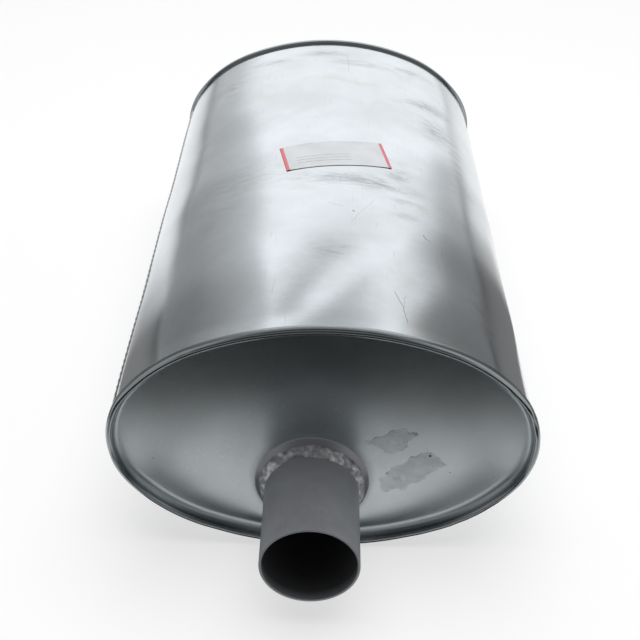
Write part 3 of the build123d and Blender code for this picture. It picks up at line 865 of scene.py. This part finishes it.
def bead_grid(axis, rim_place, ahead, seed):
    """The bead as rings about the pipe: a bulging face from the neck's cone to the pipe, and its root.

    The bulge is a half sine across the bead, times one plus ripples round the pipe and lumps. The
    ripples and the lumps are shares of it, and the bead's edges waver along the pipe.
    """
    share = np.linspace(0, 1, weld_rings)
    angle = np.linspace(0, 2 * np.pi, weld_points_round, endpoint=False)
    ring = np.stack([np.cos(angle), np.sin(angle)], axis=-1)
    radius = bead_start_radius + (pipe_radius - bead_start_radius) * share
    depth = bead_start_depth + (bead_toe_depth - bead_start_depth) * share
    run = np.array([bead_toe_depth - bead_start_depth, bead_start_radius - pipe_radius])
    outward = run / np.linalg.norm(run)
    place = np.stack(np.broadcast_arrays(radius[:, None] * ring[:, 0], depth[:, None],
                                         radius[:, None] * ring[:, 1]), axis=-1)
    lumps = waves(place, seed, count=26, shortest=4 * mm, longest=16 * mm, height=lump_height)
    toe = waves(place, seed + 1, count=16, shortest=5 * mm, longest=22 * mm, height=toe_waver)
    turns = angle * pipe_radius / ripple_pitch * 2 * np.pi
    ripple = ripple_height * np.sin(turns + ripple_sweep * share[:, None] ** 2)
    bulge = bead_crown * np.sin(np.pi * share)[:, None] ** bead_fullness * (1 + ripple + lumps)
    edge = (np.abs(2 * share - 1) ** 2)[:, None] * toe
    plan_radius = np.maximum(radius[:, None] + outward[0] * bulge, pipe_radius + 0.01 * mm)
    along = depth[:, None] + outward[1] * bulge + edge
    root_radius = np.array([pipe_radius + 0.02 * mm, neck_bore + neck_lip_width * 0.5])
    root_depth = np.array([-neck_lip_depth, -neck_lip_depth - bead_root])
    root = (len(root_radius), weld_points_round)
    plan_radius = np.concatenate([plan_radius, np.broadcast_to(root_radius[:, None], root)])
    along = np.concatenate([along, np.broadcast_to(root_depth[:, None], root)])
    plan = axis + plan_radius[..., None] * ring[None]
    return np.stack([plan[..., 0], rim_place + ahead * along, plan[..., 1]], axis=-1)


weld_metal = make_weld_metal()
for end, (axis, rim_place, ahead, _, _) in caps.items():
    grid = bead_grid(axis, rim_place, ahead, 21 if ahead < 0 else 24)
    bead = skin(f"{end}_weld_bead", grid, weld_metal)
    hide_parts(f"{end}_neck_weld")

# Label: coated paper stuck on the crown by hand at a slight turn, with a coloured bar at each end
# and plain ruled lines. Its lower edge has begun to lift.
label_length = 79.0 * mm
label_width = 39.5 * mm
label_turn = 10.0
label_clearance = 0.05 * mm
label_thickness = 0.2 * mm
edge_lift = 0.35 * mm
lift_share = 0.16
top_lift = 0.2
label_columns = 80
label_rows = 40
bar_share = 0.034
# Rules over the label's lower middle: how many to its width, how thick as a share of their spacing,
# and their middle and half reach, along and across, as shares of the label
rule_count = 9.0
rule_weight = 0.22
rules_along = (0.38, 0.26)
rules_across = (0.33, 0.20)


def make_label_paper():
    """White coated label stock gone slightly grey: semi-matt paper with red bars and grey rules."""
    material, tree, shader = finish("coated_label_paper")
    flat = add(tree, "UVMap", {}, uv_map="label")
    place = add(tree, "TexCoord", {}).outputs["Object"]
    parts = add(tree, "SeparateXYZ", {0: flat})
    fibre = add(tree, "TexNoise", {"Vector": place, "Scale": 1 / (2.2 * mm), "Detail": 4.0})
    cloud = add(tree, "TexNoise", {"Vector": place, "Scale": 1 / (22 * mm), "Detail": 3.0})
    tone = add(tree, "MapRange", {"Value": cloud, "From Min": 0.35, "From Max": 0.65})
    paper = add(tree, "Mix", {"Factor": tone, "A": linear("cccfd2"), "B": linear("c0c4c7")},
                data_type="RGBA")
    ends = add(tree, "ValToRGB", {"Fac": parts.outputs["X"]})
    ends.color_ramp.interpolation = "CONSTANT"
    set_stops(ends, [(0.0, (1, 1, 1, 1)), (bar_share, (0, 0, 0, 1)), (1 - bar_share, (1, 1, 1, 1))])
    barred = add(tree, "Mix", {"Factor": ends, "A": paper, "B": linear("cf6f76")}, data_type="RGBA")
    # Rules: thin lines at an even spacing
    rows = add(tree, "Math", {0: parts.outputs["Y"], 1: rule_count}, operation="MULTIPLY")
    phase = add(tree, "Math", {0: rows}, operation="FRACT")
    rule = add(tree, "Math", {0: phase, 1: rule_weight}, operation="LESS_THAN")
    along = add(tree, "Math", {0: parts.outputs["X"], 1: rules_along[0], 2: rules_along[1]},
                operation="COMPARE")
    across = add(tree, "Math", {0: parts.outputs["Y"], 1: rules_across[0], 2: rules_across[1]},
                 operation="COMPARE")
    inside = add(tree, "Math", {0: along, 1: across}, operation="MULTIPLY")
    ruled = add(tree, "Math", {0: rule, 1: inside}, operation="MULTIPLY")
    faint = add(tree, "Math", {0: ruled, 1: 0.5}, operation="MULTIPLY")
    printed = add(tree, "Mix", {"Factor": faint, "A": barred, "B": linear("6f7276")}, data_type="RGBA")
    bump = add(tree, "Bump", {"Height": fibre, "Strength": 0.2, "Distance": 0.1 * mm})
    wire(tree, shader, {"Base Color": printed, "Normal": bump, "Roughness": 0.42})
    return material


def make_label(material):
    """A turned rectangle laid on the crown: each point goes to the crown arc's height there.

    It then takes the sheet's own waves, and rises off it towards the lower edge and the corners.
    """
    low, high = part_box("label")
    centre = np.array([(low.x + high.x) / 2, (low.y + high.y) / 2])
    u, v = np.meshgrid(np.linspace(0, 1, label_columns + 1), np.linspace(0, 1, label_rows + 1))
    c, s = math.cos(math.radians(label_turn)), math.sin(math.radians(label_turn))
    right, up = (u - 0.5) * label_length, (v - 0.5) * label_width
    x = centre[0] + right * c - up * s
    y = centre[1] + right * s + up * c
    centres, radii, _ = oval_arcs()
    crown_centre, crown_radius = centres[2], radii[2]
    z = crown_centre[1] + np.sqrt(crown_radius ** 2 - x ** 2)
    relief = sheet_relief(np.stack([x, y, z], axis=-1), y)
    corner = np.abs(2 * u - 1) ** 6
    lower_edge = np.clip(1 - v / lift_share, 0, 1) ** 2 * (0.35 + 0.65 * corner)
    lift = edge_lift * (lower_edge + top_lift * np.clip(v / 0.1 - 9, 0, 1))
    z = z + relief + lift + label_clearance + label_thickness
    points = np.stack([x, y, z], axis=-1).reshape(-1, 3)
    row, column = np.meshgrid(np.arange(label_rows), np.arange(label_columns), indexing="ij")
    first = row * (label_columns + 1) + column
    above = first + label_columns + 1
    quads = np.stack([first, first + 1, above + 1, above], axis=-1).reshape(-1, 4)
    label = make_mesh("paper_label", points, quads.tolist(), material)
    mesh = label.data
    mesh.shade_smooth()
    layer = mesh.uv_layers.new(name="label")
    corners = np.zeros(len(mesh.loops), int)
    mesh.loops.foreach_get("vertex_index", corners)
    layer.data.foreach_set("uv", np.stack([u.ravel()[corners], v.ravel()[corners]], axis=-1).ravel())
    thick = label.modifiers.new("paper", "SOLIDIFY")
    thick.thickness = label_thickness
    thick.offset = -1
    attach(label, "root")
    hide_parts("label")


make_label(make_label_paper())

# Inside: the second wrap, three flanged baffles, two slotted core tubes, two return tubes and the
# tack welds. They keep their modelled shapes and take the same sheet, tube and weld finishes.
inside_finishes = [
    (aluminised_sheet, ["inner_wrap"]),
    (pressed_cap, ["inlet_baffle", "middle_baffle", "outlet_baffle"]),
    (mill_tube, ["inlet_core_tube", "outlet_core_tube", "left_return_tube", "right_return_tube"]),
    (weld_metal, ["inlet_baffle_tacks", "middle_baffle_tacks", "outlet_baffle_tacks"]),
]
for material, names in inside_finishes:
    for name in names:
        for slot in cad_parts[name].material_slots:
            slot.material = material

# Floor: a wide plain sheet of pale studio paper under the muffler, which rests on its two rims. It
# takes the shadow and is otherwise as white as the photo's ground.
floor_level = cad_box[0][2] - 0.2 * mm
floor_reach = 14.0
own_white = 0.60


def make_floor():
    """A square of matt paper-white, level with the lowest point of the rims.

    To the camera, and in reflections, a share of its white is its own, so the shadow on it is light.
    """
    material, tree, shader = finish("studio_paper")
    wire(tree, shader, {"Base Color": linear("f6f6f6"), "Roughness": 0.9, "Specular IOR Level": 0.1})
    path = add(tree, "LightPath", {})
    seen = add(tree, "Math", {0: path.outputs["Is Camera Ray"], 1: path.outputs["Is Glossy Ray"]},
               operation="MAXIMUM")
    seen = add(tree, "Math", {0: seen, 1: path.outputs["Is Transmission Ray"]}, operation="MAXIMUM")
    share = add(tree, "Math", {0: seen, 1: own_white}, operation="MULTIPLY")
    white = add(tree, "Emission", {"Color": (1, 1, 1, 1), "Strength": 1.0})
    both = add(tree, "MixShader", {0: share, 1: shader, 2: white})
    wire(tree, tree.nodes["Material Output"], {"Surface": both})
    square = ((-1, -1), (1, -1), (1, 1), (-1, 1))
    corners = [(x * floor_reach, y * floor_reach, floor_level) for x, y in square]
    make_mesh("floor", corners, [(0, 1, 2, 3)], material)


make_floor()

# Dark cards: lie on the floor ahead of the inlet and at both sides, and are seen only in
# reflections, as black flags in a studio are, so that the metal has darks to shape it.
# Each card fades in from its first line to its second and is evenly dark from there to its third.
# The lines are given as points across and along, in metres.
cards = [
    ("front_card", "262728",
     [(-1.5, -0.29), (1.5, -0.29)], [(-1.5, -0.37), (1.5, -0.37)], [(-1.5, -4.0), (1.5, -4.0)]),
    ("right_card", "767676",
     [(0.17, 0.12), (5.34, 10.0)], [(0.19, 0.04), (6.05, 10.0)], [(0.42, -0.30), (8.5, 9.0)]),
    ("left_card", "7e7e7e",
     [(-0.17, 0.12), (-1.0, 10.0)], [(-0.21, -0.03), (-7.4, 9.9)], [(-0.42, -0.30), (-10.5, 8.0)]),
]
card_lift = 1 * mm
# The rim shadow card is narrow and follows the inlet rim's lower edge: it is a painted contact shadow,
# the dark line of shadow where the rim meets the floor, seen only in the face's reflection. How far
# from the edge, how wide against it, and its lines' slopes and heights
rim_card_inset = 2.5 * mm
rim_card_spread = 1.08
rim_card_points = 41
rim_card_lift = 2 * mm
rim_card_rows = [(1.45, 9 * mm), (1.45, 0), (-0.6, 0)]


def make_card(name, colour, lines, lift=card_lift):
    """Two strips of quads between three lines, just over the floor, that only glossy rays meet."""
    material, tree, shader = finish(f"flag_cloth_{name}")
    shade = add(tree, "Attribute", {}, attribute_name="shade").outputs["Fac"]
    cloth = add(tree, "Mix", {"Factor": shade, "A": linear("fafafa"), "B": linear(colour)},
                data_type="RGBA")
    wire(tree, shader, {"Base Color": cloth, "Roughness": 1.0, "Specular IOR Level": 0.0})
    count = len(lines[0])
    points = np.array([(x, y, floor_level + lift) for line in lines for x, y in line])
    quads = [(first, first + 1, first + count + 1, first + count)
             for row in (0, count) for first in range(row, row + count - 1)]
    card = make_mesh(name, points, quads, material)
    paint(card, "shade", np.repeat([0, 1, 1], count))
    card.visible_camera = False
    card.visible_diffuse = False
    card.visible_transmission = False
    card.visible_shadow = False


def rim_card_line(slope, height):
    """Where the face's reflection meets the floor, for places that much above its lower edge.

    It runs ahead of the face by its height over the floor times the slope, and is as wide as the
    rim's lower half.
    """
    flat, _ = oval(np.linspace(walk_to(180 + side_arc_end), oval_length() - 0.1 * mm, rim_card_points))
    face_place = caps["inlet"][1] + cap_recess
    above = flat[:, 1] + rim_card_inset - floor_level + height
    return list(zip(rim_card_spread * flat[:, 0], face_place - slope * above))


for name, colour, *lines in cards:
    make_card(name, colour, lines)
# Rim shadow card: painted contact shadow under the inlet rim, seen only in reflections
rim_card_lines = [rim_card_line(slope, height) for slope, height in rim_card_rows]
make_card("rim_shadow_card", "222324", rim_card_lines, rim_card_lift)

# Light: a bright panel low behind the muffler, bright walls at both sides, dark in front and above
# but for a strip across the ceiling, as a soft studio has it, and one large soft lamp.
panel_top, panel_blur = 33.0, 1.0
wall_top, wall_blur = 54.0, 7.0
panel_lean = 0.46
overhead_level = 0.05
strip_level = 0.34
strip_middle, strip_half_width, strip_blur = 3.0, 8.0, 2.0
# Angles are in degrees. Brightness by compass angle: 0 is behind the outlet, 90 to the right. Low
# is up to the panel's top, high is from there to the walls' top.
low_levels = [
    (-180, 0.30), (-158, 0.32), (-135, 0.52), (-105, 0.56), (-72, 0.60), (-54, 0.28), (-44, 0.16),
    (-37, 0.22), (-33, 0.34), (-30, 0.43), (-25, 0.56), (-22, 0.68), (-19, 1.12), (25, 1.12),
    (28, 0.80), (30, 0.50), (32, 0.25), (37, 0.20), (44, 0.15), (54, 0.30), (72, 0.80),
    (105, 0.75), (135, 0.55), (158, 0.32), (180, 0.30),
]
high_levels = [
    (-180, 0.06), (-155, 0.08), (-130, 0.45), (-105, 0.56), (-72, 0.60), (-45, 0.42), (45, 0.42),
    (72, 0.80), (105, 0.75), (130, 0.45), (155, 0.08), (180, 0.06),
]
room_tint = (0.99, 1.0, 1.01)


def level_ramp(tree, share, levels):
    """Brightness by compass angle: straight lines between the levels given."""
    ramp = add(tree, "ValToRGB", {"Fac": share})
    set_stops(ramp, [((degrees + 180) / 360, (level,) * 3 + (1,)) for degrees, level in levels])
    return ramp


def make_world():
    """The studio round the muffler, as brightness by direction, and plain white to the camera."""
    world = bpy.data.worlds.new("studio")
    bpy.context.scene.world = world
    world.use_nodes = True
    tree = world.node_tree
    way = add(tree, "TexCoord", {}).outputs["Generated"]
    parts = add(tree, "SeparateXYZ", {0: way})
    compass = add(tree, "Math", {0: parts.outputs["X"], 1: parts.outputs["Y"]}, operation="ARCTAN2")
    rise = add(tree, "Math", {0: parts.outputs["Z"]}, operation="ARCSINE")
    lean = add(tree, "Math", {0: rise, 1: panel_lean, 2: 1.0}, operation="MULTIPLY_ADD")
    leaning = add(tree, "Math", {0: compass, 1: lean}, operation="MULTIPLY")
    share = add(tree, "MapRange", {"Value": leaning, "From Min": -math.pi, "From Max": math.pi})
    low = level_ramp(tree, share, low_levels)
    high = level_ramp(tree, share, high_levels)
    past = add(tree, "MapRange", {"Value": rise, "From Min": math.radians(panel_top - panel_blur),
                                  "From Max": math.radians(panel_top + panel_blur)})
    lit = add(tree, "Mix", {"Factor": past, "A": low, "B": high}, data_type="RGBA")
    above = add(tree, "MapRange", {"Value": rise, "From Min": math.radians(wall_top - wall_blur),
                                   "From Max": math.radians(wall_top + wall_blur)})
    off_strip = add(tree, "Math", {0: parts.outputs["Y"], 1: math.sin(math.radians(strip_middle))},
                    operation="SUBTRACT")
    off_strip = add(tree, "Math", {0: off_strip}, operation="ABSOLUTE")
    on_strip = add(tree, "MapRange", {"Value": off_strip,
                                      "From Min": math.radians(strip_half_width - strip_blur),
                                      "From Max": math.radians(strip_half_width + strip_blur),
                                      "To Min": 1.0, "To Max": 0.0})
    ceiling = add(tree, "Mix", {"Factor": on_strip, "A": (overhead_level,) * 3 + (1,),
                                "B": (strip_level,) * 3 + (1,)}, data_type="RGBA")
    total = add(tree, "Mix", {"Factor": above, "A": lit, "B": ceiling}, data_type="RGBA")
    tint = add(tree, "VectorMath", {0: total, 1: room_tint}, operation="MULTIPLY")
    path = add(tree, "LightPath", {})
    seen = add(tree, "Math", {0: path.outputs["Is Camera Ray"], 1: path.outputs["Is Transmission Ray"]},
               operation="MAXIMUM")
    shown = add(tree, "Mix", {"Factor": seen, "A": tint, "B": (1, 1, 1, 1)}, data_type="RGBA")
    wire(tree, tree.nodes["Background"], {"Color": shown})


def make_lamp(name, place, size, power):
    """A square soft lamp at a place, turned to face the muffler's middle."""
    data = bpy.data.lights.new(name, "AREA")
    data.shape = "SQUARE"
    data.size = size
    data.energy = power
    lamp = bpy.data.objects.new(name, data)
    bpy.context.scene.collection.objects.link(lamp)
    way = -np.array(place)
    flat = math.hypot(way[0], way[1])
    lamp.location = place
    lamp.rotation_euler = (math.atan2(flat, -way[2]), 0, math.atan2(-way[0], way[1]))
    lamp.visible_camera = False
    lamp.visible_glossy = False


make_world()
make_lamp("overhead_softbox", place=(0.1, 0.15, 2.2), size=2.2, power=54.0)

# Camera: above and ahead of the inlet, looking down along the body, where a fit to the photo's
# outlines puts it.
camera_place = (0.0007, -0.7366, 0.4446)
camera_turn = (55.529, -0.595, 0.776)
camera_lens = 61.42
camera_data = bpy.data.cameras.new("camera")
camera_data.lens = camera_lens
camera_data.sensor_width = 36.0
camera_data.clip_start = 0.01
camera_data.clip_end = 60.0
camera = bpy.data.objects.new("camera", camera_data)
camera.location = camera_place
camera.rotation_euler = [math.radians(angle) for angle in camera_turn]
bpy.context.scene.collection.objects.link(camera)
bpy.context.scene.camera = camera
bpy.context.scene.view_settings.view_transform = "Standard"
